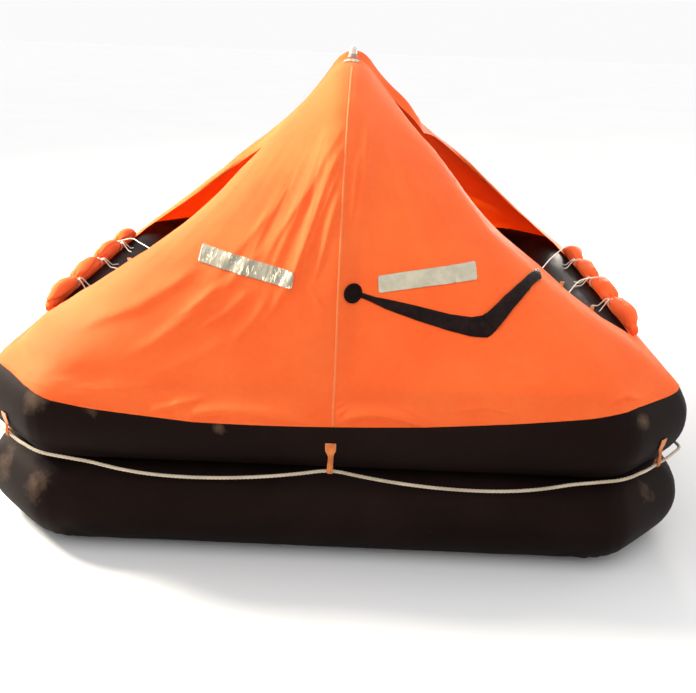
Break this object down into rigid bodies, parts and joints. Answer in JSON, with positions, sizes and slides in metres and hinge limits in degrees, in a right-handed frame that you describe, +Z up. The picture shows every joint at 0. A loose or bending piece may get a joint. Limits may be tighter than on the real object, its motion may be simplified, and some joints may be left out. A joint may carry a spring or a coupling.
{
  "type": "inflatable life raft",
  "caption": "Throw-over life raft with two stacked inflated tubes, an arch-held tent canopy open on both sides, a lifeline and a lamp.",
  "frame": {"origin": "on the ground, at the middle of the raft's length and width", "axes": "+Y along the raft's length, towards the side away from the picture's view; +X across it, towards the right-hand door; +Z up"},
  "size_m": [2.2364, 2.7044, 1.4754],
  "materials": {
    "black_rubber": "black coated fabric tubes, satin, with light scuffs",
    "orange_cloth": "bright orange coated canopy cloth, matt, with soft creases",
    "grey_floor_cloth": "dark grey coated floor cloth",
    "orange_webbing": "orange-brown woven webbing",
    "white_rope": "off-white braided cord",
    "retroreflective_tape": "silver reflective tape with a fine cell pattern",
    "lamp_white": "milky white lamp dome and flange",
    "black_coated_cloth": "black coated cloth",
    "valve_metal": "dull metal valve caps"
  },
  "bodies": {
    "root": {"arch_tube": "black_rubber", "canopy": "orange_cloth", "door_roll_left": "orange_cloth", "door_roll_right": "orange_cloth", "floor_mattress": "grey_floor_cloth", "lifeline": "white_rope", "lifeline_tab_0": "orange_webbing", "lifeline_tab_1": "orange_webbing", "lifeline_tab_2": "orange_webbing", "lifeline_tab_3": "orange_webbing", "lifeline_tab_4": "orange_webbing", "lifeline_tab_5": "orange_webbing", "lifeline_tab_6": "orange_webbing", "lifeline_tab_7": "orange_webbing", "light_base": "lamp_white", "light_dome": "lamp_white", "lower_tube": "black_rubber", "painter_patch": "black_rubber", "rain_collector_disc": "black_coated_cloth", "rain_sleeve": "black_coated_cloth", "retro_tape_far_left": "retroreflective_tape", "retro_tape_far_right": "retroreflective_tape", "retro_tape_near_left": "retroreflective_tape", "retro_tape_near_right": "retroreflective_tape", "upper_tube": "black_rubber", "valve_lower": "valve_metal", "valve_upper": "valve_metal", "water_pocket_0": "black_coated_cloth", "water_pocket_1": "black_coated_cloth", "water_pocket_2": "black_coated_cloth", "water_pocket_3": "black_coated_cloth"}
  },
  "joints": []
}
